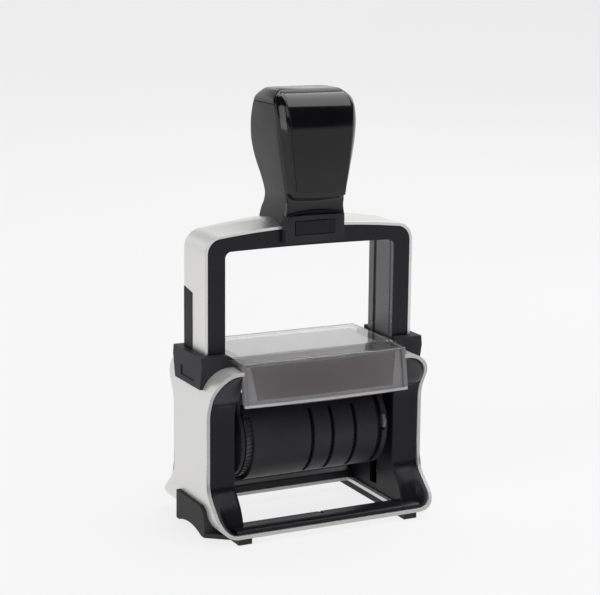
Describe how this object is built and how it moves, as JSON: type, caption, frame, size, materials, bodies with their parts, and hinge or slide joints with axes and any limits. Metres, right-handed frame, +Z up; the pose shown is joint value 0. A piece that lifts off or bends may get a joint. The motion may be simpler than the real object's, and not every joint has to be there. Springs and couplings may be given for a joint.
{
  "type": "rotary date stamp",
  "caption": "Self-inking date stamp: steel-wrapped base, press-down bow with a grip, clear label cover, and a flip-over unit with phrase and date wheels.",
  "frame": {"origin": "centre of the footprint, on the surface the stamp stands on", "axes": "+Z up, +X to the right across the stamp, -Y towards the user and the grip's panel"},
  "size_m": [0.0828, 0.0508, 0.1451],
  "materials": {
    "brushed_steel": "fine brushed, satin",
    "body_black": "moulded, fine grain",
    "unit_black": "moulded, smooth",
    "grip_satin": "satin, soft touch",
    "grip_gloss": "polished",
    "sole_rubber": "matte, non-slip",
    "clear_cover": "clear, slightly smoky",
    "label_paper": "smooth card",
    "bright_steel": "bright drawn wire and bar",
    "die_metal": "satin sheet",
    "ink_felt": "ink-soaked felt",
    "type_rubber": "vulcanised, matte",
    "cam_plastic": "moulded acetal"
  },
  "bodies": {
    "base": {"steel_band": "brushed_steel", "base_body": "body_black", "collar_left": "body_black", "collar_right": "body_black", "foot_left": "sole_rubber", "foot_right": "sole_rubber", "pad_housing": "body_black", "label_card": "label_paper", "clear_cover": "clear_cover", "spring_rod_left": "bright_steel", "spring_rod_right": "bright_steel", "return_spring_left": "bright_steel", "return_spring_right": "bright_steel"},
    "pad_cartridge": {"pad_tray": "unit_black", "ink_felt": "ink_felt"},
    "bow": {"bow_core": "body_black", "bow_skin": "brushed_steel", "bow_inlay_left": "body_black", "bow_inlay_right": "body_black", "handle_shell": "grip_satin", "handle_bezel": "grip_gloss", "handle_panel": "grip_gloss", "handle_screws": "bright_steel", "lock_housing": "body_black", "lock_spring": "bright_steel"},
    "button": {"lock_button": "body_black"},
    "stamping_unit": {"unit_frame": "unit_black", "drum_cover": "unit_black", "drum_catch": "cam_plastic", "die_plate": "die_metal", "text_die": "type_rubber", "wheel_axle": "bright_steel", "flip_cam_left": "cam_plastic", "flip_cam_right": "cam_plastic", "flip_pin_left": "bright_steel", "flip_pin_right": "bright_steel", "phrase_band": "type_rubber", "day_band": "type_rubber", "month_band": "type_rubber", "year_tens_band": "type_rubber", "year_units_band": "type_rubber"},
    "phrase_wheel_body": {"phrase_wheel": "unit_black"},
    "day_wheel_body": {"day_wheel": "unit_black"},
    "month_wheel_body": {"month_wheel": "unit_black"},
    "year_tens_wheel_body": {"year_tens_wheel": "unit_black"},
    "year_units_wheel_body": {"year_units_wheel": "unit_black"}
  },
  "joints": [
    {"name": "press", "type": "slide", "parent": "base", "child": "bow", "axis": [0, 0, -1], "range_m": [0, 0.032], "stiffness_N_per_m": 120, "springref_m": -0.04, "deforming": ["return_spring_left", "return_spring_right"]},
    {"name": "flip", "type": "hinge", "parent": "bow", "child": "stamping_unit", "pos_m": [0, 0, 0.041], "axis": [1, 0, 0], "range_deg": [0, 180]},
    {"name": "pad_slide", "type": "slide", "parent": "base", "child": "pad_cartridge", "axis": [0, 1, 0], "range_m": [0, 0.036]},
    {"name": "lock_press", "type": "slide", "parent": "bow", "child": "button", "axis": [0, 1, 0], "range_m": [0, 0.0009], "stiffness_N_per_m": 300, "springref_m": -0.001},
    {"name": "phrase_spin", "type": "hinge", "parent": "stamping_unit", "child": "phrase_wheel_body", "pos_m": [0, 0, 0.03], "axis": [1, 0, 0], "continuous": true},
    {"name": "day_spin", "type": "hinge", "parent": "stamping_unit", "child": "day_wheel_body", "pos_m": [0, 0, 0.03], "axis": [1, 0, 0], "continuous": true},
    {"name": "month_spin", "type": "hinge", "parent": "stamping_unit", "child": "month_wheel_body", "pos_m": [0, 0, 0.03], "axis": [1, 0, 0], "continuous": true},
    {"name": "year_tens_spin", "type": "hinge", "parent": "stamping_unit", "child": "year_tens_wheel_body", "pos_m": [0, 0, 0.03], "axis": [1, 0, 0], "continuous": true},
    {"name": "year_units_spin", "type": "hinge", "parent": "stamping_unit", "child": "year_units_wheel_body", "pos_m": [0, 0, 0.03], "axis": [1, 0, 0], "continuous": true}
  ],
  "couplings": [
    {"joint": "flip", "follows": "press", "rad_per_m": 98.17}
  ]
}
